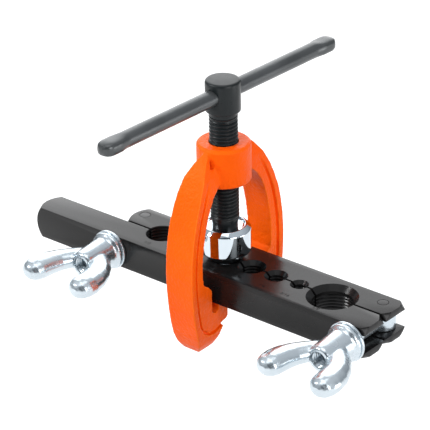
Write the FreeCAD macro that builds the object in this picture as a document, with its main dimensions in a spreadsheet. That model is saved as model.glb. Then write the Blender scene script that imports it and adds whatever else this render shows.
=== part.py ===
import FreeCAD, Part
import Sketcher
import math
import os

# Flaring tool for 3/16 to 5/8 inch tube: two die bars clamped by swing bolts and wing nuts,
# with a slip-on yoke, a feed screw and a flaring cone. Millimetres, +Z up, origin on the
# feed screw's axis at the middle of the bars' height, +X towards the open clamp end.

doc = FreeCAD.newDocument("flaring_tool")
sheet = doc.addObject("Spreadsheet::Sheet", "Sizes")

SIZES = (
    ("bar_width", 12.5),
    ("bar_height", 13.0),
    ("bar_gap", 1.0),
    ("front_left", 90.0),
    ("rear_left", 54.5),
    ("bar_right", 76.0),
    ("dome_radius", 11.5),
    ("end_face_radius", 7.0),
    ("end_turned", 2.4),
    ("slot_height", 7.4),
    ("slot_start", 63.6),
    ("eye_pocket", 5.5),
    ("clamp_x", 69.2),
    ("hinge_x", 48.2),
    ("pin_y", 8.0),
    ("pin_radius", 2.25),
    ("pin_fit", 0.05),
    ("eye_radius", 5.0),
    ("eye_height", 7.0),
    ("bolt_radius", 3.175),
    ("bolt_end", 26.5),
    ("bolt_hole_radius", 4.0),
    ("washer_radius", 8.0),
    ("washer_height", 1.2),
    ("clamp_play", 1.1),
    ("nut_length", 16.5),
    ("nut_flange_radius", 7.6),
    ("nut_flange_height", 2.2),
    ("nut_neck_radius", 6.4),
    ("nut_nose_radius", 5.3),
    ("nut_bore_radius", 3.24),
    ("wing_half", 3.7),
    ("lobe_x", 12.1),
    ("lobe_y", 29.2),
    ("lobe_radius", 5.6),
    ("screw_radius", 5.55),
    ("screw_root", 4.75),
    ("screw_pitch", 1.5),
    ("screw_tip_radius", 4.9),
    ("screw_tip", 14.0),
    ("thread_start", 24.5),
    ("thread_end", 66.5),
    ("head_radius", 6.8),
    ("head_bottom", 69.2),
    ("head_top", 81.8),
    ("handle_height", 76.0),
    ("handle_radius", 3.175),
    ("handle_fit", 0.08),
    ("handle_half", 64.8),
    ("handle_offset", 0.7),
    ("handle_turn", 2.6),
    ("swage_long", 6.2),
    ("swage_wide", 3.8),
    ("swage_thick", 2.75),
    ("cone_radius", 10.1),
    ("cone_bottom", 10.5),
    ("cone_top", 21.3),
    ("cone_bevel", 1.7),
    ("cone_tip_radius", 2.4),
    ("ball_radius", 2.5),
    ("ring_height", 1.0),
    ("ring_level", 18.0),
    ("boss_radius", 10.5),
    ("boss_bottom", 40.4),
    ("boss_top", 56.4),
    ("yoke_width", 13.0),
    ("groove_width", 10.0),
    ("rib_width", 12.0),
    ("yoke_fit", 0.07),
    ("lip_top", 6.9),
    ("lip_end", 6.6),
    ("foot_face", 15.8),
    ("foot_bottom", 26.0),
)
UNITLESS = {}
row = 1
for word, amount in SIZES:
    sheet.set("A%d" % row, word)
    sheet.set("B%d" % row, str(amount))
    sheet.setAlias("B%d" % row, word)
    UNITLESS[word] = amount
    row += 1
doc.recompute()


class Size:
    """A length with the expression that gives it, so that geometry and its constraint agree."""

    def __init__(self, value, text):
        self.value = value
        self.text = text

    def __add__(self, other):
        other = as_size(other)
        return Size(self.value + other.value, "(%s + %s)" % (self.text, other.text))

    def __sub__(self, other):
        other = as_size(other)
        return Size(self.value - other.value, "(%s - %s)" % (self.text, other.text))

    def __mul__(self, factor):
        return Size(self.value * factor, "(%s * %s)" % (self.text, repr(float(factor))))

    def __neg__(self):
        return Size(-self.value, "(0 - %s)" % self.text)


def as_size(item):
    if isinstance(item, Size):
        return item
    return Size(float(item), "(%s)" % repr(float(item)))


def size(word):
    return Size(UNITLESS[word], "Sizes.%s" % word)


def new_body(label):
    body = doc.addObject("PartDesign::Body", label)
    body.Label = label
    return body


def plane_of(body, role):
    for item in body.Origin.OriginFeatures:
        if item.Role == role:
            return item
    raise ValueError(role)


def arc_between(start, end, radius):
    """The shorter arc from start to end; a positive radius turns anticlockwise."""
    chord = end.sub(start)
    half = chord.Length / 2.0
    side = 1.0 if radius > 0 else -1.0
    rise = math.sqrt(max(radius * radius - half * half, 0.0))
    normal = FreeCAD.Vector(-chord.y, chord.x, 0).normalize()
    centre = start.add(chord.multiply(0.5)).add(normal.multiply(side * rise))
    first = math.atan2(start.y - centre.y, start.x - centre.x)
    last = math.atan2(end.y - centre.y, end.x - centre.x)
    circle = Part.Circle(centre, FreeCAD.Vector(0, 0, 1), abs(radius))
    if side > 0:
        return Part.ArcOfCircle(circle, first, last)
    return Part.ArcOfCircle(circle, last, first)


def outline(body, name, role, points, curves=None):
    """A closed, fully dimensioned profile; curves maps an edge number to its signed radius."""
    curves = curves or {}
    sketch = body.newObject("Sketcher::SketchObject", name)
    sketch.AttachmentSupport = [(plane_of(body, role), "")]
    sketch.MapMode = "FlatFace"
    spots = []
    for across, up in points:
        spots.append((as_size(across), as_size(up)))
    count = len(spots)
    ends = []
    for number in range(count):
        start = FreeCAD.Vector(spots[number][0].value, spots[number][1].value, 0)
        after = spots[(number + 1) % count]
        end = FreeCAD.Vector(after[0].value, after[1].value, 0)
        if number in curves:
            sketch.addGeometry(arc_between(start, end, curves[number]), False)
            ends.append((1, 2) if curves[number] > 0 else (2, 1))
        else:
            sketch.addGeometry(Part.LineSegment(start, end), False)
            ends.append((1, 2))
    Constraint = Sketcher.Constraint
    for number in range(count):
        follow = (number + 1) % count
        sketch.addConstraint(
            Constraint("Coincident", number, ends[number][1], follow, ends[follow][0])
        )
    for number in range(count):
        point = ends[number][0]
        for kind, spot in (("DistanceX", spots[number][0]), ("DistanceY", spots[number][1])):
            if abs(spot.value) < 1e-9:
                axis = -2 if kind == "DistanceX" else -1
                sketch.addConstraint(Constraint("PointOnObject", number, point, axis))
                continue
            made = sketch.addConstraint(Constraint(kind, -1, 1, number, point, spot.value))
            if "Sizes" in spot.text:
                sketch.setExpression("Constraints[%d]" % made, spot.text)
    for number, radius in curves.items():
        sketch.addConstraint(Constraint("Radius", number, abs(radius)))
    return sketch


def sheet_axis(sketch, which):
    return (sketch, [which])


def turned(body, kind, name, sketch, which):
    item = body.newObject(kind, name)
    item.Profile = sketch
    item.ReferenceAxis = sheet_axis(sketch, which)
    item.Angle = 360.0
    sketch.Visibility = False
    return item


def padded(body, name, sketch, length):
    item = body.newObject("PartDesign::Pad", name)
    item.Profile = sketch
    item.Midplane = True
    item.setExpression("Length", as_size(length).text)
    return item


def pocketed(body, name, sketch, length):
    item = body.newObject("PartDesign::Pocket", name)
    item.Profile = sketch
    item.Midplane = True
    item.setExpression("Length", as_size(length).text)
    return item


def lug(body, kind, name, sizes, place):
    item = body.newObject(kind, name)
    for prop, amount in sizes:
        amount = as_size(amount)
        if "Sizes" in amount.text:
            item.setExpression(prop, amount.text)
        else:
            setattr(item, prop, amount.value)
    item.Placement = place
    return item


V = FreeCAD.Vector
FAR = 40.0
TURN_Y = FreeCAD.Rotation(V(1, 0, 0), 90)

# --- die bars ---------------------------------------------------------------------------
# Tube hole: name, x, tube radius, flare mouth radius.
HOLES = (
    ("half", -32.2, 6.35, 6.65),
    ("seven_sixteenths", -15.6, 5.56, 7.25),
    ("three_eighths", 0.0, 4.76, 6.4),
    ("five_sixteenths", 13.0, 3.97, 5.6),
    ("quarter", 24.8, 3.175, 4.65),
    ("three_sixteenths", 36.0, 2.38, 3.65),
    ("five_eighths", 51.6, 7.94, 10.1),
)
GRIP_PITCH = 1.3
GRIP_LAND = 0.6
GRIP_DEPTH = 0.25
GRIP_FIRST = 1.0


def half_height():
    return size("bar_height") * 0.5


def axis_y(side):
    return (size("bar_gap") * 0.5 + size("bar_width") * 0.5) * side


def bar(label, side, left):
    """One die bar, turned at both ends, slotted for the swing bolts, drilled for the tubes."""
    body = new_body(label)
    inner = size("bar_gap") * 0.5 * side
    outer = (size("bar_gap") * 0.5 + size("bar_width")) * side
    right = size("bar_right")
    plan = outline(
        body, label + "_plan", "XY_Plane",
        ((-left, inner), (right, inner), (right, outer), (-left, outer)),
    )
    padded(body, label + "_blank", plan, size("bar_height"))
    centre = axis_y(side)
    # turned ends: what lies outside a dome at the left and a cone at the right is cut away
    corner = math.hypot(UNITLESS["bar_width"], UNITLESS["bar_height"]) / 2.0 + 1.0
    dome = UNITLESS["dome_radius"]
    back = dome - math.sqrt(dome * dome - corner * corner)
    left_cut = outline(
        body, label + "_dome", "XY_Plane",
        ((-left, centre), (-left + back, centre + corner), (-left - 2, centre + corner),
         (-left - 2, centre)),
        {0: -dome},
    )
    slope = UNITLESS["end_turned"] / (corner - 1.0 - UNITLESS["end_face_radius"])
    face = size("end_face_radius")
    run = slope * (corner - UNITLESS["end_face_radius"])
    right_cut = outline(
        body, label + "_cone", "XY_Plane",
        ((right, centre + face), (right + 2, centre + face), (right + 2, centre + corner),
         (right - run, centre + corner)),
    )
    for name, cut in (("_left_end", left_cut), ("_right_end", right_cut)):
        groove = body.newObject("PartDesign::Groove", label + name)
        groove.Profile = cut
        line = body.newObject("PartDesign::Line", label + name + "_axis")
        line.MapMode = "Deactivated"
        line.Placement = FreeCAD.Placement(V(0, centre.value, 0), FreeCAD.Rotation(V(0, 1, 0), 90))
        groove.ReferenceAxis = (line, [""])
        groove.Angle = 360.0
    slot_half = size("slot_height") * 0.5
    # open slot at the clamp end
    slot = outline(
        body, label + "_slot_side", "XZ_Plane",
        ((size("slot_start"), -slot_half), (size("bar_right") + 2, -slot_half),
         (size("bar_right") + 2, slot_half), (size("slot_start"), slot_half)),
    )
    pocketed(body, label + "_slot", slot, FAR)
    return body


def clearance_slot(body, label, reach):
    slot_half = size("slot_height") * 0.5
    hinge = -size("hinge_x")
    slot = outline(
        body, label + "_hinge_side", "XZ_Plane",
        ((hinge - reach, -slot_half), (hinge + reach, -slot_half),
         (hinge + reach, slot_half), (hinge - reach, slot_half)),
    )
    pocketed(body, label + "_hinge_slot", slot, FAR)


def tube_holes(body, label):
    """Each tube hole is a turned cut: the flare mouth, then the gripping rings."""
    top = half_height()
    for name, centre, tube, mouth in HOLES:
        points = [(0, -top - 1), (tube, -top - 1)]
        level = -UNITLESS["bar_height"] / 2.0 + GRIP_FIRST
        seat = UNITLESS["bar_height"] / 2.0 - (mouth - tube)
        while level + GRIP_PITCH < seat - 0.5:
            points.append((tube, level + GRIP_LAND))
            points.append((tube + GRIP_DEPTH, level + (GRIP_LAND + GRIP_PITCH) / 2.0))
            level += GRIP_PITCH
            points.append((tube, level))
        points.append((tube, top - (mouth - tube)))
        points.append((mouth, top))
        points.append((mouth, top + 1))
        points.append((0, top + 1))
        cutter = outline(body, label + "_" + name, "XZ_Plane", shifted(points, centre))
        groove = body.newObject("PartDesign::Groove", label + "_" + name + "_hole")
        groove.Profile = cutter
        line = body.newObject("PartDesign::Line", label + "_" + name + "_axis")
        line.MapMode = "Deactivated"
        line.Placement = FreeCAD.Placement(V(centre, 0, 0), FreeCAD.Rotation())
        groove.ReferenceAxis = (line, [""])
        groove.Angle = 360.0


def shifted(points, centre):
    moved = []
    for across, up in points:
        moved.append((as_size(across) + centre if centre else across, up))
    return moved


def pin_hole(body, label, centre):
    item = lug(
        body, "PartDesign::SubtractiveCylinder", label,
        (("Radius", size("pin_radius")), ("Height", size("bar_height") + 2)),
        FreeCAD.Placement(V(centre, UNITLESS["pin_y"], -UNITLESS["bar_height"] / 2 - 1),
                          FreeCAD.Rotation()),
    )
    return item


front = bar("front_die_bar", -1.0, size("front_left"))
clearance_slot(front, "front_die_bar", size("bolt_hole_radius"))
tube_holes(front, "front_die_bar")

rear = bar("rear_die_bar", 1.0, size("rear_left"))
clearance_slot(rear, "rear_die_bar", size("eye_pocket"))
tube_holes(rear, "rear_die_bar")
pin_hole(rear, "rear_hinge_pin_hole", -UNITLESS["hinge_x"])
pin_hole(rear, "rear_clamp_pin_hole", UNITLESS["clamp_x"])


# --- hinge pins, swing bolts, washers ---------------------------------------------------
def pin(label, centre):
    body = new_body(label)
    half = half_height()
    radius = size("pin_radius")
    profile = outline(
        body, label + "_half", "XZ_Plane",
        ((0, -half), (radius - 0.3, -half), (radius, -half + 0.3), (radius, half - 0.3),
         (radius - 0.3, half), (0, half)),
    )
    turned(body, "PartDesign::Revolution", label + "_turned", profile, "V_Axis")
    body.Placement = FreeCAD.Placement(V(centre, UNITLESS["pin_y"], 0), FreeCAD.Rotation())
    return body


def swing_bolt(label, centre):
    """Eye about the pin, shank towards the wing nut; the thread is plain here."""
    body = new_body(label)
    eye = lug(
        body, "PartDesign::AdditiveCylinder", label + "_eye",
        (("Radius", size("eye_radius")), ("Height", size("eye_height"))),
        FreeCAD.Placement(V(0, 0, -UNITLESS["eye_height"] / 2), FreeCAD.Rotation()),
    )
    shank_end = size("pin_y") + size("bolt_end")
    shank = outline(
        body, label + "_shank_half", "XY_Plane",
        ((0, -shank_end), (size("bolt_radius") - 0.6, -shank_end),
         (size("bolt_radius"), -shank_end + 0.6), (size("bolt_radius"), -3.5), (0, -3.5)),
    )
    turned(body, "PartDesign::Revolution", label + "_shank", shank, "V_Axis")
    lug(
        body, "PartDesign::SubtractiveCylinder", label + "_bore",
        (("Radius", size("pin_radius") + size("pin_fit")), ("Height", size("eye_height") + 2)),
        FreeCAD.Placement(V(0, 0, -UNITLESS["eye_height"] / 2 - 1), FreeCAD.Rotation()),
    )
    body.Placement = FreeCAD.Placement(V(centre, UNITLESS["pin_y"], 0), FreeCAD.Rotation())
    return eye


def washer(label, centre, level):
    body = new_body(label)
    thick = size("washer_height")
    inside = size("bolt_radius") + 0.1
    outside = size("washer_radius")
    profile = outline(
        body, label + "_half", "XY_Plane",
        ((inside, 0), (outside - 0.25, 0), (outside, -0.25), (outside, -thick + 0.25),
         (outside - 0.25, -thick), (inside, -thick)),
    )
    turned(body, "PartDesign::Revolution", label + "_turned", profile, "V_Axis")
    body.Placement = FreeCAD.Placement(V(centre, level, 0), FreeCAD.Rotation())
    return body


def wing_nut(label, centre, level):
    """Cast wing nut: flanged barrel along -Y, two thick wings that widen to round lobes."""
    body = new_body(label)
    flange = size("nut_flange_radius")
    barrel = outline(
        body, label + "_half", "XY_Plane",
        ((0, 0), (flange, 0), (flange, -size("nut_flange_height") + 0.6),
         (flange - 0.7, -size("nut_flange_height")),
         (size("nut_neck_radius"), -size("nut_flange_height") - 0.8),
         (size("nut_nose_radius"), -size("nut_length") + 0.8),
         (size("nut_nose_radius") - 0.8, -size("nut_length")), (0, -size("nut_length"))),
    )
    turned(body, "PartDesign::Revolution", label + "_barrel", barrel, "V_Axis")
    for side in (1.0, -1.0):
        name = label + ("_right" if side > 0 else "_left")
        tip = size("lobe_x") * side
        reach = size("lobe_radius") * side
        front = -size("lobe_y")
        wing = outline(
            body, name + "_plan", "XY_Plane",
            ((2.0 * side, -4.5), (6.2 * side, -6.9), (11.2 * side, -12.4), (15.0 * side, -18.0),
             (tip + 5.4 * side, -24.0), (tip + reach, front), (tip - reach, front),
             (6.2 * side, -24.0), (5.4 * side, -19.0), (2.0 * side, -15.5)),
            {5: -(UNITLESS["lobe_radius"] + 0.05) * side},
        )
        padded(body, name + "_wing", wing, size("wing_half") * 2)
    bore = outline(
        body, label + "_bore_half", "XY_Plane",
        ((0, 1), (size("nut_bore_radius"), 1), (size("nut_bore_radius"), -size("nut_length") - 1),
         (0, -size("nut_length") - 1)),
    )
    turned(body, "PartDesign::Groove", label + "_bore", bore, "V_Axis")
    body.Placement = FreeCAD.Placement(V(centre, level, 0), FreeCAD.Rotation())
    return body


front_face = UNITLESS["bar_gap"] / 2 + UNITLESS["bar_width"]
hinge_x = -UNITLESS["hinge_x"]
clamp_x = UNITLESS["clamp_x"]
clamp_level = -front_face - UNITLESS["clamp_play"]
pin("hinge_pin", hinge_x)
pin("clamp_pin", clamp_x)
swing_bolt("hinge_swing_bolt", hinge_x)
swing_bolt("clamp_swing_bolt", clamp_x)
washer("hinge_washer", hinge_x, -front_face)
washer("clamp_washer", clamp_x, clamp_level)
wing_nut("hinge_wing_nut", hinge_x, -front_face - UNITLESS["washer_height"])
wing_nut("clamp_wing_nut", clamp_x, clamp_level - UNITLESS["washer_height"])


# --- feed screw, handle bar, flaring cone -----------------------------------------------
def feed_screw():
    body = new_body("feed_screw")
    points = [(0, size("screw_tip")), (size("screw_tip_radius") - 0.4, size("screw_tip"))]
    points.append((size("screw_tip_radius"), size("screw_tip") + 0.4))
    groove_low = size("ring_level") - 0.1
    groove_high = size("ring_level") + size("ring_height") + 0.1
    neck = size("screw_tip_radius") - 0.9
    points.append((size("screw_tip_radius"), groove_low))
    points.append((neck, groove_low))
    points.append((neck, groove_high))
    points.append((size("screw_tip_radius"), groove_high))
    points.append((size("screw_tip_radius"), size("cone_top") + 0.3))
    points.append((size("screw_radius") - 0.35, size("thread_start") - 1.0))
    pitch = UNITLESS["screw_pitch"]
    turns = int((UNITLESS["thread_end"] - UNITLESS["thread_start"]) / pitch)
    for turn in range(turns):
        foot = size("thread_start") + size("screw_pitch") * float(turn)
        points.append((size("screw_root"), foot + 0.1))
        points.append((size("screw_radius"), foot + size("screw_pitch") * 0.44))
        points.append((size("screw_radius"), foot + size("screw_pitch") * 0.60))
    points.append((size("screw_radius") - 0.3, size("thread_end") + 0.6))
    points.append((size("screw_radius") - 0.3, size("head_bottom")))
    points.append((size("head_radius") - 0.4, size("head_bottom")))
    points.append((size("head_radius"), size("head_bottom") + 0.4))
    points.append((size("head_radius"), size("head_top") - 1.0))
    points.append((size("head_radius") - 1.0, size("head_top")))
    points.append((0, size("head_top")))
    profile = outline(body, "feed_screw_half", "XZ_Plane", points)
    turned(body, "PartDesign::Revolution", "feed_screw_turned", profile, "V_Axis")
    lug(
        body, "PartDesign::SubtractiveCylinder", "feed_screw_cross_hole",
        (("Radius", size("handle_radius") + size("handle_fit")), ("Height", FAR)),
        FreeCAD.Placement(V(0, 0, UNITLESS["handle_height"]), HANDLE_TURN).multiply(
            FreeCAD.Placement(V(0, FAR / 2, 0), TURN_Y)),
    )
    lug(
        body, "PartDesign::SubtractiveSphere", "feed_screw_ball_seat",
        (("Radius", size("ball_radius")),),
        FreeCAD.Placement(V(0, 0, UNITLESS["screw_tip"] - 0.9), FreeCAD.Rotation()),
    )
    return body


HANDLE_TURN = FreeCAD.Rotation(V(0, 0, 1), -UNITLESS["handle_turn"])


def handle_bar():
    body = new_body("t_handle_bar")
    half = size("handle_half")
    radius = size("handle_radius")
    profile = outline(
        body, "t_handle_half", "XY_Plane",
        ((0, -half + 4.6), (radius - 0.6, -half + 4.6), (radius, -half + 6), (radius, half - 6),
         (radius - 0.6, half - 4.6), (0, half - 4.6)),
    )
    turned(body, "PartDesign::Revolution", "t_handle_rod", profile, "V_Axis")
    for side in (1.0, -1.0):
        word = "rear" if side > 0 else "front"
        end = (UNITLESS["handle_half"] - UNITLESS["swage_wide"]) * side
        lug(
            body, "PartDesign::AdditiveCylinder", "t_handle_end_" + word,
            (("Radius", size("swage_wide")), ("Height", size("swage_thick") * 2)),
            FreeCAD.Placement(V(0, end, -UNITLESS["swage_thick"]), FreeCAD.Rotation()),
        )
        lug(
            body, "PartDesign::AdditiveBox", "t_handle_flat_" + word,
            (("Length", size("swage_wide") * 2), ("Width", size("swage_long")),
             ("Height", size("swage_thick") * 2)),
            FreeCAD.Placement(
                V(-UNITLESS["swage_wide"], min(end, end - UNITLESS["swage_long"] * side),
                  -UNITLESS["swage_thick"]), FreeCAD.Rotation()),
        )
    place = FreeCAD.Placement(V(0, 0, UNITLESS["handle_height"]), HANDLE_TURN)
    body.Placement = place.multiply(
        FreeCAD.Placement(V(0, -UNITLESS["handle_offset"], 0), FreeCAD.Rotation())
    )
    return body


def flaring_cone():
    body = new_body("flaring_cone")
    radius = size("cone_radius")
    bottom = size("cone_bottom")
    top = size("cone_top")
    bevel = size("cone_bevel")
    tip = size("cone_tip_radius")
    bore = size("screw_tip_radius") + size("pin_fit")
    floor = size("screw_tip") - 0.9 - size("ball_radius")
    ring_low = size("ring_level")
    ring_high = size("ring_level") + size("ring_height")
    profile = outline(
        body, "flaring_cone_half", "XZ_Plane",
        ((0, bottom - radius + tip), (tip, bottom - radius + tip), (radius, bottom),
         (radius, top - bevel), (radius - bevel, top), (radius - bevel - 0.7, top),
         (radius - bevel - 1.0, top - 0.8), (bore, top - 0.8),
         (bore, ring_high), (bore + 0.7, ring_high), (bore + 0.7, ring_low), (bore, ring_low),
         (bore, floor), (0, floor)),
    )
    turned(body, "PartDesign::Revolution", "flaring_cone_turned", profile, "V_Axis")
    return body


def retaining_ring():
    body = new_body("cone_retaining_ring")
    low = size("ring_level")
    high = size("ring_level") + size("ring_height")
    inside = size("screw_tip_radius") - 0.8
    outside = size("screw_tip_radius") + size("pin_fit") + 0.65
    profile = outline(
        body, "ring_half", "XZ_Plane",
        ((inside, low), (outside, low), (outside, high), (inside, high)),
    )
    turned(body, "PartDesign::Revolution", "ring_turned", profile, "V_Axis")
    gap = outline(
        body, "ring_gap_plan", "XY_Plane",
        ((1.0, -0.8), (9.0, -0.8), (9.0, 0.8), (1.0, 0.8)),
    )
    pocketed(body, "ring_gap", gap, 2 * FAR)
    return body


def thrust_ball():
    body = new_body("thrust_ball")
    lug(
        body, "PartDesign::AdditiveSphere", "thrust_ball_sphere",
        (("Radius", size("ball_radius") - 0.02),),
        FreeCAD.Placement(V(0, 0, UNITLESS["screw_tip"] - 0.9), FreeCAD.Rotation()),
    )
    return body


feed_screw()
handle_bar()
flaring_cone()
retaining_ring()
thrust_ball()


# --- yoke -------------------------------------------------------------------------------
# Outer face of one arm, from the boss down to the foot: distance from the screw axis, height.
OUTER = (
    (9.0, 56.2), (14.2, 51.8), (17.8, 47.0), (20.8, 41.4), (23.2, 35.7), (25.1, 30.3),
    (26.6, 24.0), (27.7, 17.0), (28.2, 9.0), (27.9, 1.0), (27.2, -6.0), (26.2, -12.5),
    (24.9, -18.0), (23.5, -22.0), (21.9, -24.7),
)
# Underside of the foot, from the toe in to the lip.
TOE = ((17.2, -25.3), (14.2, -23.3), (11.8, -20.6), (10.2, -17.8))
# Where the outer band, the groove behind it and the rib lie below the outer face.
BAND_DEPTH = 2.6
GROOVE_DEPTH = 4.0
LAP = 0.5
# How the groove's middle runs on across the foot, from the arm to the lip.
FOOT_SEAM = ((21.3, -15.4), (18.2, -17.4), (14.4, -17.8), (9.6, -16.2))
# Inner edge of the arm, from the boss down to the foot block.
INNER = (
    (8.4, 43.4), (11.0, 41.4), (13.4, 38.9), (15.4, 35.6), (16.9, 32.2), (18.4, 27.4),
    (19.8, 21.4), (20.7, 14.6), (20.9, 8.6), (20.3, 4.2),
)
NOTCH_START = 11.9
NOTCH_LEVEL = -8.2


def arm_points(side, rows):
    found = []
    for across, up in rows:
        found.append((across * side, up))
    return found


def inset(depth):
    """The outer face's line moved towards the screw axis, square to its own direction."""
    moved = []
    for number in range(1, len(OUTER) - 3):
        run = OUTER[number + 1][0] - OUTER[number - 1][0]
        fall = OUTER[number - 1][1] - OUTER[number + 1][1]
        length = math.hypot(run, fall)
        moved.append((OUTER[number][0] - depth * fall / length,
                      OUTER[number][1] - depth * run / length))
    return tuple(moved)


def seam(depth):
    """The line at this depth below the outer face, carried on across the foot."""
    rise = depth - (BAND_DEPTH + GROOVE_DEPTH) / 2.0
    foot = []
    for across, up in FOOT_SEAM:
        foot.append((across, up + rise))
    return inset(depth) + tuple(foot)


def boss_half(body, name):
    radius = size("boss_radius")
    low = size("boss_bottom")
    high = size("boss_top")
    return outline(
        body, name, "XZ_Plane",
        ((0, low), (radius - 0.8, low), (radius, low + 0.8), (radius, high - 0.9),
         (radius - 0.9, high), (0, high)),
    )


def yoke_arm(body, name, side):
    """One arm: an outer band, a groove behind it, then the rib that carries the foot."""
    band = arm_points(side, OUTER)
    band.append((19.8 * side, -size("foot_bottom")))
    band = band + arm_points(side, TOE)
    band = band + arm_points(side, tuple(reversed(seam(BAND_DEPTH))))
    padded(body, name + "_band", outline(body, name + "_band_side", "YZ_Plane", band),
           size("yoke_width"))
    core = arm_points(side, seam(BAND_DEPTH - LAP))
    core = core + arm_points(side, tuple(reversed(seam(GROOVE_DEPTH + LAP))))
    padded(body, name + "_core", outline(body, name + "_core_side", "YZ_Plane", core),
           size("groove_width"))
    lip = size("lip_end") * side
    face = size("foot_face") * side
    lip_level = -size("lip_top")
    rib = arm_points(side, ((9.0, 50.5),) + seam(GROOVE_DEPTH))
    rib.append((lip + 0.8 * side, -15.2))
    rib.append((lip, -14.2))
    rib.append((lip, lip_level))
    rib.append((NOTCH_START * side, lip_level))
    rib.append((NOTCH_START * side, NOTCH_LEVEL))
    notch = (UNITLESS["foot_face"] - NOTCH_START) / 2.0 + 0.01
    curve = {len(rib) - 1: notch * side}
    rib.append((face, NOTCH_LEVEL))
    rib.append((face, 0.4))
    rib.append((17.4 * side, 2.4))
    rib = rib + arm_points(side, tuple(reversed(INNER)))
    padded(body, name + "_rib", outline(body, name + "_rib_side", "YZ_Plane", rib, curve),
           size("rib_width"))


def yoke():
    body = new_body("yoke")
    turned(body, "PartDesign::Revolution", "yoke_boss", boss_half(body, "yoke_boss_half"), "V_Axis")
    yoke_arm(body, "yoke_rear", 1.0)
    yoke_arm(body, "yoke_front", -1.0)
    # the arms narrow towards the boss and to a round tip at the foot
    wide = size("yoke_width") * 0.5
    toe = -size("foot_bottom") - 0.1
    for side in (1.0, -1.0):
        name = "yoke_trim_%s" % ("right" if side > 0 else "left")
        edge = [
            (wide * side, 14.0), (6.4 * side, 30.0), (5.9 * side, 40.0), (5.0 * side, 46.5),
            (3.0 * side, 51.2), (0.3 * side, 56.3), (9.0 * side, 56.3), (9.0 * side, 14.0),
        ]
        trim_with(body, name + "_top", edge)
        edge = [
            (wide * side, -14.0), (6.4 * side, -18.0), (5.9 * side, -21.2), (4.8 * side, -23.6),
            (3.2 * side, -25.2), (1.4 * side, toe), (9.0 * side, toe), (9.0 * side, -14.0),
        ]
        trim_with(body, name + "_foot", edge)
    # put the full boss back, then bore it for the screw
    again = boss_half(body, "yoke_boss_again_half")
    turned(body, "PartDesign::Revolution", "yoke_boss_again", again, "V_Axis")
    radius = size("screw_radius") + size("yoke_fit")
    low = size("boss_bottom") - 1
    high = size("boss_top") + 1
    bore = outline(
        body, "yoke_bore_half", "XZ_Plane",
        ((0, low), (radius, low), (radius, high), (0, high)),
    )
    turned(body, "PartDesign::Groove", "yoke_bore", bore, "V_Axis")
    return body


def trim_with(body, name, edge):
    cut = outline(body, name + "_front", "XZ_Plane", edge)
    pocketed(body, name, cut, 2 * FAR)


yoke()

# --- build, check, write ----------------------------------------------------------------
doc.recompute()
broken = []
for item in doc.Objects:
    if "Invalid" in item.State or "Error" in item.State:
        broken.append(item.Name)
if broken:
    raise RuntimeError("not built: " + ", ".join(broken))
nodes = []
for item in doc.Objects:
    if item.TypeId == "PartDesign::Body":
        nodes.append(item)
for item in nodes:
    if item.Shape.isNull() or not item.Shape.isValid():
        raise RuntimeError("bad shape: " + item.Label)
os.makedirs("parts", exist_ok=True)
for item in nodes:
    item.Shape.exportStep("parts/%s.step" % item.Label)
    box = item.Shape.BoundBox
    print("%-22s solids %d volume %9.1f  x %.2f..%.2f y %.2f..%.2f z %.2f..%.2f" % (
        item.Label, len(item.Shape.Solids), item.Shape.Volume,
        box.XMin, box.XMax, box.YMin, box.YMax, box.ZMin, box.ZMax))
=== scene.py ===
import math

import bmesh
import bpy
from mathutils import Matrix, Vector


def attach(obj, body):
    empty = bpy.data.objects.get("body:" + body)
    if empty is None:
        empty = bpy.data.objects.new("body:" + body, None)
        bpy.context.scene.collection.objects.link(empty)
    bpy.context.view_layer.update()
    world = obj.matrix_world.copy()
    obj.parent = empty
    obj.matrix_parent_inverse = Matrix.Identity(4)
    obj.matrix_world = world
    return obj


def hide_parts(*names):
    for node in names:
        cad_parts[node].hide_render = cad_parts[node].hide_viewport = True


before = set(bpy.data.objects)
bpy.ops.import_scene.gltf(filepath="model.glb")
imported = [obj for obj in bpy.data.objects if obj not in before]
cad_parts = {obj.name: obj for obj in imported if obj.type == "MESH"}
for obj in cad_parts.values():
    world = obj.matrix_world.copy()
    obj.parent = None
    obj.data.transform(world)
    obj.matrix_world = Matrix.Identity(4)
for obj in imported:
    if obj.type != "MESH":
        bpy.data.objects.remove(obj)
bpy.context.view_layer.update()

MM = 0.001
TAU = 2 * math.pi

# ---- sizes shared with the frame, millimetres ------------------------------------------
BAR_W, BAR_H, GAP = 12.5, 13.0, 1.0
FACE = GAP / 2 + BAR_W
FRONT_LEFT, REAR_LEFT, RIGHT = 90.0, 54.5, 76.0
SLOT_HALF, SLOT_START = 3.7, 63.6
CLAMP_X, HINGE_X, PIN_Y = 69.2, -48.2, 8.0
CLAMP_PLAY, WASHER_H = 1.1, 1.2
HOLES = (
    (-32.2, 6.35, 6.65), (-15.6, 5.56, 7.25), (0.0, 4.76, 6.4), (13.0, 3.97, 5.6),
    (24.8, 3.175, 4.65), (36.0, 2.38, 3.65), (51.6, 7.94, 10.1),
)
STAMPS = ("1/2", "7/16", "3/8", "5/16", "1/4", "3/16", "5/8")


# ---- mesh helpers ----------------------------------------------------------------------
def new_mesh(name, verts, faces, smooth=True):
    mesh = bpy.data.meshes.new(name)
    mesh.from_pydata([Vector(v) * MM for v in verts], [], faces)
    mesh.validate()
    mesh.update()
    obj = bpy.data.objects.new(name, mesh)
    bpy.context.scene.collection.objects.link(obj)
    if smooth:
        mesh.polygons.foreach_set("use_smooth", [True] * len(mesh.polygons))
    return obj


def baked(obj):
    """Applies every modifier of obj to its mesh."""
    deps = bpy.context.evaluated_depsgraph_get()
    mesh = bpy.data.meshes.new_from_object(obj.evaluated_get(deps))
    obj.modifiers.clear()
    obj.data = mesh
    return obj


def transformed(obj, matrix):
    obj.data.transform(matrix)
    return obj


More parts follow.
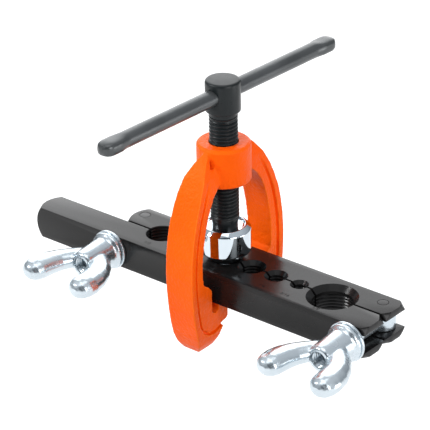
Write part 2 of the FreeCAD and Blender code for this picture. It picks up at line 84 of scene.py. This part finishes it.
def fix_normals(obj):
    bm = bmesh.new()
    bm.from_mesh(obj.data)
    bmesh.ops.remove_doubles(bm, verts=bm.verts, dist=1e-7)
    bmesh.ops.recalc_face_normals(bm, faces=bm.faces)
    bm.to_mesh(obj.data)
    bm.free()
    return obj


def rounded(points, radii, steps=4):
    """Rounds the inner corners of an open profile; radii maps a point's number to its radius."""
    out = []
    for i, p in enumerate(points):
        if i not in radii:
            out.append(p)
            continue
        a, b, c = Vector(points[i - 1]), Vector(p), Vector(points[i + 1])
        r = min(radii[i], (a - b).length * 0.45, (c - b).length * 0.45)
        for k in range(steps + 1):
            t = k / steps
            q = (b + (a - b).normalized() * r) * (1 - t) ** 2 + b * 2 * t * (1 - t)
            q = q + (b + (c - b).normalized() * r) * t ** 2
            out.append((q.x, q.y))
    return out


def lathe(name, profile, segs=96, smooth=True):
    """Turns (radius, height) points about Z; closed when it starts and ends off the axis."""
    verts, rings = [], []
    for r, z in profile:
        if r < 1e-6:
            rings.append([len(verts)])
            verts.append((0, 0, z))
            continue
        rings.append(list(range(len(verts), len(verts) + segs)))
        for k in range(segs):
            a = TAU * k / segs
            verts.append((r * math.cos(a), r * math.sin(a), z))
    faces = []
    pairs = list(zip(rings, rings[1:]))
    if profile[0][0] > 1e-6 and profile[-1][0] > 1e-6:
        pairs.append((rings[-1], rings[0]))
    for low, high in pairs:
        for k in range(segs):
            j = (k + 1) % segs
            if len(low) == 1 and len(high) == 1:
                continue
            if len(low) == 1:
                faces.append((low[0], high[j], high[k]))
            elif len(high) == 1:
                faces.append((low[k], low[j], high[0]))
            else:
                faces.append((low[k], low[j], high[j], high[k]))
    return fix_normals(new_mesh(name, verts, faces, smooth))


def helix(name, major, depth, pitch, low, high, segs=72, step=0.12, fade=1.0, cap=True):
    """A real right-hand thread: the radius follows the height and the angle together."""
    rows = int((high - low) / step) + 1
    verts, faces = [], []
    for i in range(rows):
        z = low + (high - low) * i / (rows - 1)
        ease = min(1.0, (z - low) / fade, (high - z) / fade)
        for k in range(segs):
            a = TAU * k / segs
            f = (z / pitch - k / segs) % 1.0
            tri = abs(2 * f - 1)
            tri = min(1.0, max(0.0, (tri - 0.1) / 0.78))
            r = major - depth * (1 - tri) * max(0.0, ease)
            verts.append((r * math.cos(a), r * math.sin(a), z))
    for i in range(rows - 1):
        for k in range(segs):
            j = (k + 1) % segs
            faces.append((i * segs + k, i * segs + j, (i + 1) * segs + j, (i + 1) * segs + k))
    if cap:
        faces.append(tuple(range(segs - 1, -1, -1)))
        faces.append(tuple(range((rows - 1) * segs, rows * segs)))
    return new_mesh(name, verts, faces)


def box_mesh(name, low, high):
    (x0, y0, z0), (x1, y1, z1) = low, high
    verts = [(x, y, z) for x in (x0, x1) for y in (y0, y1) for z in (z0, z1)]
    faces = [(0, 1, 3, 2), (4, 6, 7, 5), (0, 4, 5, 1), (2, 3, 7, 6), (0, 2, 6, 4), (1, 5, 7, 3)]
    return fix_normals(new_mesh(name, verts, faces, smooth=False))


def combine(obj, cutter, how="DIFFERENCE"):
    mod = obj.modifiers.new("cut", "BOOLEAN")
    mod.operation = how
    mod.object = cutter
    mod.solver = "EXACT"
    baked(obj)
    bpy.data.objects.remove(cutter)
    return obj


def join(name, *objs):
    """One object from several, without merging their surfaces."""
    bm = bmesh.new()
    for obj in objs:
        bm.from_mesh(obj.data)
    mesh = bpy.data.meshes.new(name)
    bm.to_mesh(mesh)
    bm.free()
    for obj in objs:
        bpy.data.objects.remove(obj)
    out = bpy.data.objects.new(name, mesh)
    bpy.context.scene.collection.objects.link(out)
    return out


def sharp_above(obj, degrees):
    """Smooth shading with sharp edges where the surface really turns."""
    obj.data.polygons.foreach_set("use_smooth", [True] * len(obj.data.polygons))
    bm = bmesh.new()
    bm.from_mesh(obj.data)
    limit = math.radians(degrees)
    for edge in bm.edges:
        edge.smooth = len(edge.link_faces) != 2 or edge.calc_face_angle(0) < limit
    bm.to_mesh(obj.data)
    bm.free()
    return obj


def edged(obj, width, degrees=32, segments=2):
    """A small round on every real edge."""
    mod = obj.modifiers.new("edge", "BEVEL")
    mod.width = width * MM
    mod.segments = segments
    mod.limit_method = "ANGLE"
    mod.angle_limit = math.radians(degrees)
    mod.use_clamp_overlap = True
    mod.harden_normals = False
    return baked(obj)


def remeshed(obj, voxel, smooth=0):
    mod = obj.modifiers.new("vox", "REMESH")
    mod.mode = "VOXEL"
    mod.voxel_size = voxel * MM
    mod.use_smooth_shade = True
    baked(obj)
    if smooth:
        mod = obj.modifiers.new("soft", "SMOOTH")
        mod.factor = 0.5
        mod.iterations = smooth
        baked(obj)
    obj.data.polygons.foreach_set("use_smooth", [True] * len(obj.data.polygons))
    return obj


# ---- materials -------------------------------------------------------------------------
class Mat:
    """A Principled material with a few procedural helpers."""

    def __init__(self, name):
        self.mat = bpy.data.materials.new(name)
        self.mat.use_nodes = True
        self.nodes = self.mat.node_tree.nodes
        self.links = self.mat.node_tree.links
        self.bsdf = self.nodes["Principled BSDF"]
        self.coord = self.nodes.new("ShaderNodeTexCoord")

    def set(self, **values):
        for key, value in values.items():
            self.bsdf.inputs[key.replace("_", " ")].default_value = value
        return self

    def mapping(self, scale):
        node = self.nodes.new("ShaderNodeMapping")
        node.inputs["Scale"].default_value = scale
        self.links.new(self.coord.outputs["Object"], node.inputs["Vector"])
        return node.outputs["Vector"]

    def noise(self, scale, detail=4.0, rough=0.5, stretch=(1, 1, 1)):
        node = self.nodes.new("ShaderNodeTexNoise")
        node.inputs["Scale"].default_value = scale
        node.inputs["Detail"].default_value = detail
        node.inputs["Roughness"].default_value = rough
        self.links.new(self.mapping(stretch), node.inputs["Vector"])
        return node.outputs["Fac"]

    def ramp(self, fac, *stops):
        node = self.nodes.new("ShaderNodeValToRGB")
        ramp = node.color_ramp
        while len(ramp.elements) < len(stops):
            ramp.elements.new(0.5)
        for element, (place, colour) in zip(ramp.elements, stops):
            element.position = place
            if not isinstance(colour, tuple):
                colour = (colour, colour, colour)
            element.color = colour + (1.0,)
        self.links.new(fac, node.inputs["Fac"])
        return node.outputs["Color"]

    def mix(self, fac, a, b):
        node = self.nodes.new("ShaderNodeMix")
        node.data_type = "RGBA"
        for value, socket in ((fac, 0), (a, 6), (b, 7)):
            if hasattr(value, "links") or hasattr(value, "is_linked"):
                self.links.new(value, node.inputs[socket])
            else:
                node.inputs[socket].default_value = value
        return node.outputs[2]

    def link(self, socket, key):
        self.links.new(socket, self.bsdf.inputs[key])
        return self

    def bump(self, height, strength, distance, under=None):
        node = self.nodes.new("ShaderNodeBump")
        node.inputs["Strength"].default_value = strength
        node.inputs["Distance"].default_value = distance
        self.links.new(height, node.inputs["Height"])
        if under is not None:
            self.links.new(under, node.inputs["Normal"])
        self.links.new(node.outputs["Normal"], self.bsdf.inputs["Normal"])
        return node.outputs["Normal"]


def bar_material():
    m = Mat("black_oxide_bar").set(Metallic=0.0, Specular_IOR_Level=0.20)
    streak = m.noise(260.0, 5.0, 0.6, (0.05, 1.0, 1.0))
    cloud = m.noise(45.0, 3.0, 0.5)
    tone = m.ramp(cloud, (0.3, (0.006, 0.006, 0.006)), (0.7, (0.010, 0.0095, 0.0095)))
    m.link(tone, "Base Color")
    m.link(m.ramp(streak, (0.3, 0.17), (0.7, 0.27)), "Roughness")
    m.bump(streak, 0.10, 0.00004)
    return m.mat


def yoke_material():
    m = Mat("orange_powder_coat").set(Metallic=0.0, Specular_IOR_Level=0.20)
    m.set(Specular_Tint=(1.0, 0.50, 0.16, 1.0))
    tint = m.noise(38.0, 3.0, 0.5)
    paint = m.ramp(tint, (0.3, (0.93, 0.092, 0.002)), (0.7, (0.99, 0.115, 0.003)))
    # painted highlight: convex edges (high pointiness) are mixed toward a lighter orange to stand in
    # for specular edge highlights
    edge_pointiness = m.nodes.new("ShaderNodeNewGeometry").outputs["Pointiness"]
    edges = m.ramp(edge_pointiness, (0.52, 0.0), (0.58, 0.75))
    m.link(m.mix(edges, paint, (1.0, 0.30, 0.05, 1.0)), "Base Color")
    m.link(m.ramp(m.noise(420.0, 3.0), (0.3, 0.36), (0.7, 0.48)), "Roughness")
    sand = m.noise(900.0, 2.0, 0.55)
    peel = m.noise(230.0, 2.0, 0.5)
    under = m.bump(peel, 0.35, 0.00022)
    m.bump(m.ramp(sand, (0.35, 0.0), (0.7, 1.0)), 0.60, 0.00022, under)
    return m.mat


def steel_material(name, dark, light, metallic, low, high, stretch, grain,
                   strength=0.08, shine=0.5):
    m = Mat(name).set(Metallic=metallic, Specular_IOR_Level=shine)
    m.link(m.ramp(m.noise(60.0, 3.0), (0.3, dark), (0.7, light)), "Base Color")
    fine = m.noise(grain, 4.0, 0.6, stretch)
    m.link(m.ramp(fine, (0.3, low), (0.7, high)), "Roughness")
    m.bump(fine, strength, 0.00004)
    return m.mat


MATS = {
    "bar": bar_material(),
    "yoke": yoke_material(),
    "screw": steel_material("black_oxide_screw", (0.006, 0.008, 0.009), (0.012, 0.015, 0.016), 0.1,
                            0.26, 0.38, (1, 1, 1), 300.0, 0.08, 0.25),
    "handle": steel_material("satin_grey_steel", (0.062, 0.066, 0.068), (0.092, 0.097, 0.100), 0.6,
                             0.26, 0.38, (1, 0.08, 1), 420.0),
    "chrome": steel_material("mirror_chrome", (0.54, 0.60, 0.645), (0.60, 0.66, 0.70), 1.0,
                             0.04, 0.08, (1, 1, 1), 90.0, 0.01),
    "zinc": steel_material("bright_zinc", (0.50, 0.565, 0.61), (0.58, 0.64, 0.68), 0.9,
                           0.20, 0.30, (1, 1, 1), 150.0, 0.06),
    "pin": steel_material("ground_pin", (0.020, 0.020, 0.021), (0.034, 0.034, 0.035), 0.2,
                          0.30, 0.42, (1, 1, 1), 500.0),
}


def dress(obj, key):
    obj.data.materials.clear()
    obj.data.materials.append(MATS[key])
    return obj


def piece(obj, key, body, node):
    dress(obj, key)
    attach(obj, body)
    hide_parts(node)
    return obj


# ---- die bars --------------------------------------------------------------------------
def turned_form(name, left, y):
    """What a lathe leaves of the bar: a domed left end and a coned right end."""
    dome, corner = 11.5, 9.02
    profile = []
    steps = 14
    reach = math.asin((corner + 0.6) / dome)
    for k in range(steps + 1):
        a = reach * k / steps
        profile.append((dome * math.sin(a), -left + dome * (1 - math.cos(a))))
    slope = 2.4 / (corner - 7.0)
    profile.append((corner + 0.6, RIGHT - slope * (corner + 0.6 - 7.0)))
    profile.append((7.0, RIGHT))
    profile.append((0, RIGHT))
    form = lathe(name, profile, 128, smooth=False)
    turn = Matrix.Rotation(math.pi / 2, 4, "Y")
    transformed(form, Matrix.Translation((0, y * MM, 0)) @ turn)
    return fix_normals(form)


def hole_cutter(name, x, tube, mouth):
    top = BAR_H / 2
    points = [(0, -top - 1), (tube, -top - 1), (tube, -top)]
    z = -top + 0.5
    seat = top - (mouth - tube)
    while z + 1.3 < seat - 0.3:
        points += [(tube, z), (tube, z + 0.55), (tube + 0.32, z + 0.9)]
        z += 1.3
    points += [(tube, z), (tube, seat), (mouth, top), (mouth + 0.02, top + 1), (0, top + 1)]
    cutter = lathe(name, points, 96, smooth=False)
    return transformed(cutter, Matrix.Translation((x * MM, 0, 0)))


def stamp(text, x, y, height):
    curve = bpy.data.curves.new("stamp", "FONT")
    curve.body = text
    curve.size = height * MM
    curve.align_x = "CENTER"
    curve.align_y = "CENTER"
    curve.extrude = 0.22 * MM
    curve.resolution_u = 3
    obj = bpy.data.objects.new("stamp", curve)
    bpy.context.scene.collection.objects.link(obj)
    deps = bpy.context.evaluated_depsgraph_get()
    mesh = bpy.data.meshes.new_from_object(obj.evaluated_get(deps))
    bpy.data.objects.remove(obj)
    made = bpy.data.objects.new("stamp_mesh", mesh)
    bpy.context.scene.collection.objects.link(made)
    transformed(made, Matrix.Translation((x * MM, y * MM, BAR_H / 2 * MM)))
    return fix_normals(made)


def die_bar(name, side, left, hinge_half):
    inner, outer = GAP / 2 * side, FACE * side
    bar = box_mesh(name, (-left, min(inner, outer), -BAR_H / 2),
                   (RIGHT, max(inner, outer), BAR_H / 2))
    combine(bar, turned_form("form", left, (inner + outer) / 2), "INTERSECT")
    combine(bar, box_mesh("slot", (SLOT_START, -20, -SLOT_HALF), (RIGHT + 2, 20, SLOT_HALF)))
    combine(bar, box_mesh("slot", (HINGE_X - hinge_half, -20, -SLOT_HALF),
                          (HINGE_X + hinge_half, 20, SLOT_HALF)))
    edged(bar, 0.28)
    for x, tube, mouth in HOLES:
        combine(bar, hole_cutter("hole", x, tube, mouth))
    return bar


front_bar = die_bar("front_bar", -1, FRONT_LEFT, 4.0)
rear_bar = die_bar("rear_bar", 1, REAR_LEFT, 5.5)
for x in (HINGE_X, CLAMP_X):
    hole = lathe("pin_hole", [(0, -8), (2.25, -8), (2.25, 8), (0, 8)], 48, smooth=False)
    combine(rear_bar, transformed(hole, Matrix.Translation((x * MM, PIN_Y * MM, 0))))
for (x, tube, mouth), text in zip(HOLES, STAMPS):
    combine(front_bar, stamp(text, x + 0.4, -FACE + 2.1 if mouth > 9 else -9.6, 2.4))
sharp_above(front_bar, 26)
sharp_above(rear_bar, 26)
piece(front_bar, "bar", "fixed_jaw", "front_die_bar")
piece(rear_bar, "bar", "rear_jaw", "rear_die_bar")


# ---- pins, washers, bolts --------------------------------------------------------------
def pin_piece(name, x):
    low, high = -BAR_H / 2, BAR_H / 2
    profile = rounded([(0, low), (2.2, low), (2.2, high), (0, high)], {1: 0.35, 2: 0.35})
    pin = lathe(name, profile, 48)
    transformed(pin, Matrix.Translation((x * MM, PIN_Y * MM, 0)))
    return sharp_above(pin, 40)


piece(pin_piece("hinge_pin_steel", HINGE_X), "pin", "rear_jaw", "hinge_pin")
piece(pin_piece("clamp_pin_steel", CLAMP_X), "bar", "rear_jaw", "clamp_pin")

TO_FRONT = Matrix.Rotation(math.pi / 2, 4, "X")   # a lathe's +Z becomes -Y


def washer_piece(name, x, y):
    ring = lathe(name, rounded([(3.3, 0), (8.0, 0), (8.0, WASHER_H), (3.3, WASHER_H), (3.3, 0)],
                               {1: 0.35, 2: 0.35})[:-1], 96)
    transformed(ring, Matrix.Translation((x * MM, y * MM, 0)) @ TO_FRONT)
    return sharp_above(fix_normals(ring), 40)


def bolt_piece(name, x):
    ring = [(2.32, -3.5), (5.0, -3.5), (5.0, 3.5), (2.32, 3.5)]
    eye = lathe("eye", rounded(ring, {1: 0.5, 2: 0.5}), 64)
    shank = lathe("shank", [(0, 3.4), (2.9, 3.4), (2.9, 16.2), (0, 16.2)], 48)
    thread = helix("thread", 3.16, 0.62, 1.27, 16.0, 34.5, 48, 0.12, 0.9)
    transformed(shank, TO_FRONT)
    transformed(thread, TO_FRONT)
    bolt = join(name, eye, shank, thread)
    transformed(bolt, Matrix.Translation((x * MM, PIN_Y * MM, 0)))
    return sharp_above(bolt, 40)


CLAMP_FACE = -FACE - CLAMP_PLAY
piece(washer_piece("hinge_washer_zinc", HINGE_X, -FACE), "zinc", "hinge_washer_body",
      "hinge_washer")
piece(washer_piece("clamp_washer_zinc", CLAMP_X, CLAMP_FACE), "zinc", "clamp_washer_body",
      "clamp_washer")
piece(bolt_piece("hinge_bolt_zinc", HINGE_X), "zinc", "fixed_jaw", "hinge_swing_bolt")
piece(bolt_piece("clamp_bolt_zinc", CLAMP_X), "zinc", "clamp_bolt", "clamp_swing_bolt")


# ---- wing nuts -------------------------------------------------------------------------
# Centre line of one wing: across, forward, half width in plan, half thickness.
WING = (
    (1.5, 8.0, 4.0, 3.6), (4.4, 10.8, 4.6, 3.6), (7.4, 14.4, 5.0, 3.6), (9.8, 18.2, 5.3, 3.8),
    (11.4, 22.4, 5.6, 4.2), (12.1, 26.4, 5.7, 4.4), (12.15, 29.2, 5.5, 4.3), (12.15, 31.6, 4.7, 3.8),
    (12.15, 33.2, 3.2, 2.8), (12.15, 34.1, 1.4, 1.3),
)


def wing_mesh(name, side):
    segs = 32
    verts, faces = [], []
    for i, (x, f, wide, thick) in enumerate(WING):
        a = WING[max(i - 1, 0)]
        b = WING[min(i + 1, len(WING) - 1)]
        along = Vector((b[0] - a[0], b[1] - a[1])).normalized()
        across = Vector((along.y, -along.x))
        for k in range(segs):
            t = TAU * k / segs
            off = across * wide * math.cos(t)
            verts.append((side * (x + off.x), -(f + off.y), thick * math.sin(t)))
    for i in range(len(WING) - 1):
        for k in range(segs):
            j = (k + 1) % segs
            faces.append((i * segs + k, i * segs + j, (i + 1) * segs + j, (i + 1) * segs + k))
    faces.append(tuple(range(segs - 1, -1, -1)))
    last = (len(WING) - 1) * segs
    faces.append(tuple(range(last, last + segs)))
    return fix_normals(new_mesh(name, verts, faces))


def wing_nut_piece(name, x, y):
    barrel = lathe("barrel", [(0, 0), (7.55, 0), (7.55, 1.5), (6.9, 2.2), (6.3, 3.0), (5.9, 8.0),
                              (5.45, 14.0), (5.2, 15.6), (4.6, 16.5), (0, 16.5)], 64)
    transformed(barrel, TO_FRONT)
    body = join("nut", barrel, wing_mesh("right", 1), wing_mesh("left", -1))
    remeshed(body, 0.32, 7)
    bore = lathe("bore", [(0, -1), (3.3, -1), (3.3, 16.0), (3.9, 17.5), (0, 17.5)], 64)
    transformed(bore, TO_FRONT)
    combine(body, fix_normals(bore))
    inner = helix("inner", 3.34, 0.52, 1.27, 0.4, 16.2, 48, 0.12, 0.4, cap=False)
    transformed(inner, TO_FRONT)
    inner.data.flip_normals()
    nut = join(name, body, inner)
    transformed(nut, Matrix.Translation((x * MM, y * MM, 0)))
    return sharp_above(nut, 48)


piece(wing_nut_piece("hinge_wing_nut_zinc", HINGE_X, -FACE - WASHER_H), "zinc", "hinge_nut",
      "hinge_wing_nut")
piece(wing_nut_piece("clamp_wing_nut_zinc", CLAMP_X, CLAMP_FACE - WASHER_H), "zinc", "clamp_nut",
      "clamp_wing_nut")


# ---- feed screw, handle, cone ----------------------------------------------------------
HANDLE_Z, HANDLE_OFFSET = 76.0, 0.7
HANDLE_TURN = Matrix.Rotation(math.radians(-2.6), 4, "Z")


def feed_screw_piece():
    tip = [(0, 14.0), (4.9, 14.0), (4.9, 21.6), (5.2, 23.5), (5.2, 25.2), (0, 25.2)]
    lower = lathe("tip", rounded(tip, {1: 0.4}, 3), 96)
    thread = helix("thread", 5.55, 0.80, 1.5, 24.6, 67.0, 96, 0.11, 1.6)
    neck = lathe("neck", [(0, 66.0), (5.25, 66.0), (5.25, 69.4), (0, 69.4)], 96)
    head_points = [(0, 69.2), (6.8, 69.2), (6.8, 81.8), (0, 81.8)]
    head = lathe("head", rounded(head_points, {1: 0.5, 2: 1.3}, 5), 96)
    hole = lathe("cross", [(0, -20), (3.25, -20), (3.25, 20), (0, 20)], 64)
    transformed(hole, Matrix.Translation((0, 0, HANDLE_Z * MM)) @ HANDLE_TURN @ TO_FRONT)
    combine(head, hole)
    edged(head, 0.3, 40)
    return sharp_above(join("feed_screw_black", lower, thread, neck, head), 50)


def handle_piece():
    """Round bar with both ends swaged into blunt paddles."""
    half, r = 64.8, 3.175
    wide_end, thin_end, swage_from, swage_over, tip_over = 3.8, 2.75, 12.5, 5.0, 4.2
    segs, rows = 40, 150
    verts, faces = [], []
    for i in range(rows + 1):
        s = -half + 2 * half * i / rows
        d = half - abs(s)
        swage = max(0.0, min(1.0, (swage_from - d) / swage_over))
        swage = swage * swage * (3 - 2 * swage)
        wide = r + (wide_end - r) * swage
        thick = r + (thin_end - r) * swage
        end = 1.0
        if d < tip_over:
            end = math.sqrt(max(0.0, 1 - ((tip_over - d) / tip_over) ** 2))
        for k in range(segs):
            a = TAU * k / segs
            c, q = math.cos(a), math.sin(a)
            power = 1.0 - 0.35 * swage
            x = wide * end * math.copysign(abs(c) ** power, c)
            z = thick * (0.35 + 0.65 * end) * math.copysign(abs(q) ** power, q) * min(1, end * 3)
            verts.append((x, s, z))
    for i in range(rows):
        for k in range(segs):
            j = (k + 1) % segs
            faces.append((i * segs + k, i * segs + j, (i + 1) * segs + j, (i + 1) * segs + k))
    bar = fix_normals(new_mesh("t_handle_steel", verts, faces))
    place = Matrix.Translation((0, 0, HANDLE_Z * MM)) @ HANDLE_TURN
    transformed(bar, place @ Matrix.Translation((0, -HANDLE_OFFSET * MM, 0)))
    return sharp_above(bar, 40)


def cone_piece():
    points = [(0, 2.8), (2.4, 2.8), (10.1, 10.5), (10.1, 19.6), (8.4, 21.3), (7.7, 21.3),
              (7.4, 20.5), (4.95, 20.5), (4.95, 10.6), (0, 10.6)]
    profile = rounded(points, {1: 0.4, 2: 0.5, 3: 0.35, 4: 0.3, 5: 0.2}, 4)
    return sharp_above(lathe("flaring_cone_chrome", profile, 128), 28)


piece(feed_screw_piece(), "screw", "screw", "feed_screw")
piece(handle_piece(), "handle", "handle", "t_handle_bar")
piece(cone_piece(), "chrome", "cone_carrier", "flaring_cone")
for node in ("cone_retaining_ring", "thrust_ball"):
    dress(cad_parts[node], "pin")


# ---- yoke ------------------------------------------------------------------------------
def yoke_piece():
    """The casting: the frame's form, melted a little so that every edge is round."""
    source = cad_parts["yoke"]
    cast = bpy.data.objects.new("yoke_casting", source.data.copy())
    bpy.context.scene.collection.objects.link(cast)
    cast.data.transform(source.matrix_world)
    fix_normals(cast)
    remeshed(cast, 0.30, 3)
    return cast


piece(yoke_piece(), "yoke", "fixed_jaw", "yoke")


# ---- stage, light, camera --------------------------------------------------------------
def studio():
    floor = bpy.data.objects.new("floor", bpy.data.meshes.new("floor"))
    size, z = 6.0, -0.16
    floor.data.from_pydata([(-size, -size, z), (size, -size, z), (size, size, z), (-size, size, z)],
                           [], [(0, 1, 2, 3)])
    bpy.context.scene.collection.objects.link(floor)
    m = Mat("pale_floor").set(Roughness=0.9, Specular_IOR_Level=0.1)
    m.link(m.ramp(m.noise(3.0, 2.0), (0.3, 0.40), (0.7, 0.44)), "Base Color")
    m.set(Emission_Color=(1, 1, 1, 1), Emission_Strength=0.72)
    floor.data.materials.append(m.mat)
    floor.visible_diffuse = False
    world = bpy.data.worlds.new("studio")
    bpy.context.scene.world = world
    world.use_nodes = True
    nodes, links = world.node_tree.nodes, world.node_tree.links
    coord = nodes.new("ShaderNodeTexCoord")
    split = nodes.new("ShaderNodeSeparateXYZ")
    sky = nodes.new("ShaderNodeValToRGB")
    links.new(coord.outputs["Generated"], split.inputs[0])
    shift = nodes.new("ShaderNodeMath")
    shift.operation = "MULTIPLY_ADD"
    shift.inputs[1].default_value = 0.5
    shift.inputs[2].default_value = 0.5
    links.new(split.outputs["Z"], shift.inputs[0])
    links.new(shift.outputs[0], sky.inputs["Fac"])
    sky.color_ramp.elements[0].position = 0.55
    sky.color_ramp.elements[0].color = (0.34, 0.37, 0.40, 1)
    sky.color_ramp.elements[1].position = 0.85
    sky.color_ramp.elements[1].color = (0.85, 0.88, 0.92, 1)
    # a dark side to the room, for small bright metal to show its form against
    dark = nodes.new("ShaderNodeVectorMath")
    dark.operation = "DOT_PRODUCT"
    dark.inputs[1].default_value = (0.57, -0.68, 0.46)
    links.new(coord.outputs["Generated"], dark.inputs[0])
    shade = nodes.new("ShaderNodeValToRGB")
    links.new(dark.outputs["Value"], shade.inputs["Fac"])
    shade.color_ramp.elements[0].position = 0.80
    shade.color_ramp.elements[0].color = (1, 1, 1, 1)
    shade.color_ramp.elements[1].position = 0.90
    shade.color_ramp.elements[1].color = (0.05, 0.07, 0.09, 1)
    both = nodes.new("ShaderNodeMix")
    both.data_type = "RGBA"
    both.blend_type = "MULTIPLY"
    both.inputs[0].default_value = 1.0
    links.new(sky.outputs["Color"], both.inputs[6])
    links.new(shade.outputs["Color"], both.inputs[7])
    links.new(both.outputs[2], nodes["Background"].inputs["Color"])
    nodes["Background"].inputs["Strength"].default_value = 0.8


def lamp(name, place, target, size, power, tall=None):
    light = bpy.data.lights.new(name, "AREA")
    light.energy = power
    light.size = size
    if tall:
        light.shape = "RECTANGLE"
        light.size_y = tall
    obj = bpy.data.objects.new(name, light)
    obj.location = place
    aim = Vector(target) - Vector(place)
    obj.rotation_euler = aim.to_track_quat("-Z", "Y").to_euler()
    bpy.context.scene.collection.objects.link(obj)
    return obj


def camera():
    """The photograph's view as fitted; its distance follows the assumed real size."""
    azimuth, elevation, roll, distance, lens = 39.98, 27.20, -1.157, 945.24, 204.77
    shift_across, shift_up, target = 4.175, 16.697, Vector((0.66, -0.8, 6.5))
    a, e, r = math.radians(azimuth), math.radians(elevation), math.radians(roll)
    back = Vector((math.sin(a) * math.cos(e), -math.cos(a) * math.cos(e), math.sin(e)))
    right = Vector((math.cos(a), math.sin(a), 0))
    up = back.cross(right)
    across = right * math.cos(r) + up * math.sin(r)
    upward = up * math.cos(r) - right * math.sin(r)
    place = back * distance - across * shift_across + upward * shift_up + target
    data = bpy.data.cameras.new("photo_view")
    data.lens = lens
    data.sensor_width = 36.0
    data.clip_end = 20.0
    obj = bpy.data.objects.new("photo_view", data)
    turn = Matrix((across, upward, back)).transposed().to_4x4()
    obj.matrix_world = Matrix.Translation(place * MM) @ turn
    bpy.context.scene.collection.objects.link(obj)
    bpy.context.scene.camera = obj


studio()
lamp("sheen_back_left", (-0.70, 0.85, 0.55), (0, 0, 0), 1.2, 10.0, 1.2)
lamp("overhead", (0.05, -0.1, 1.0), (0, 0, 0), 0.6, 2.4, 0.8)
lamp("spark", (-0.57, -0.54, 0.62), (0, 0, 0.02), 0.22, 4.5, 0.22)
key = lamp("key_front_left", (-0.55, -0.85, 0.45), (0, 0, 0.02), 0.5, 5.4, 0.5)
key.visible_glossy = False
lamp("fill_right", (0.95, -0.25, 0.35), (0, 0, 0.02), 0.45, 5.2, 0.7)
low = lamp("low_front", (0.30, -0.95, 0.02), (0, 0, 0), 0.5, 2.4, 0.3)
low.visible_glossy = False
lamp("low_right", (0.75, 0.35, -0.02), (0, 0, 0.03), 0.3, 1.6, 0.4)
camera()
bpy.context.scene.view_settings.view_transform = "Standard"
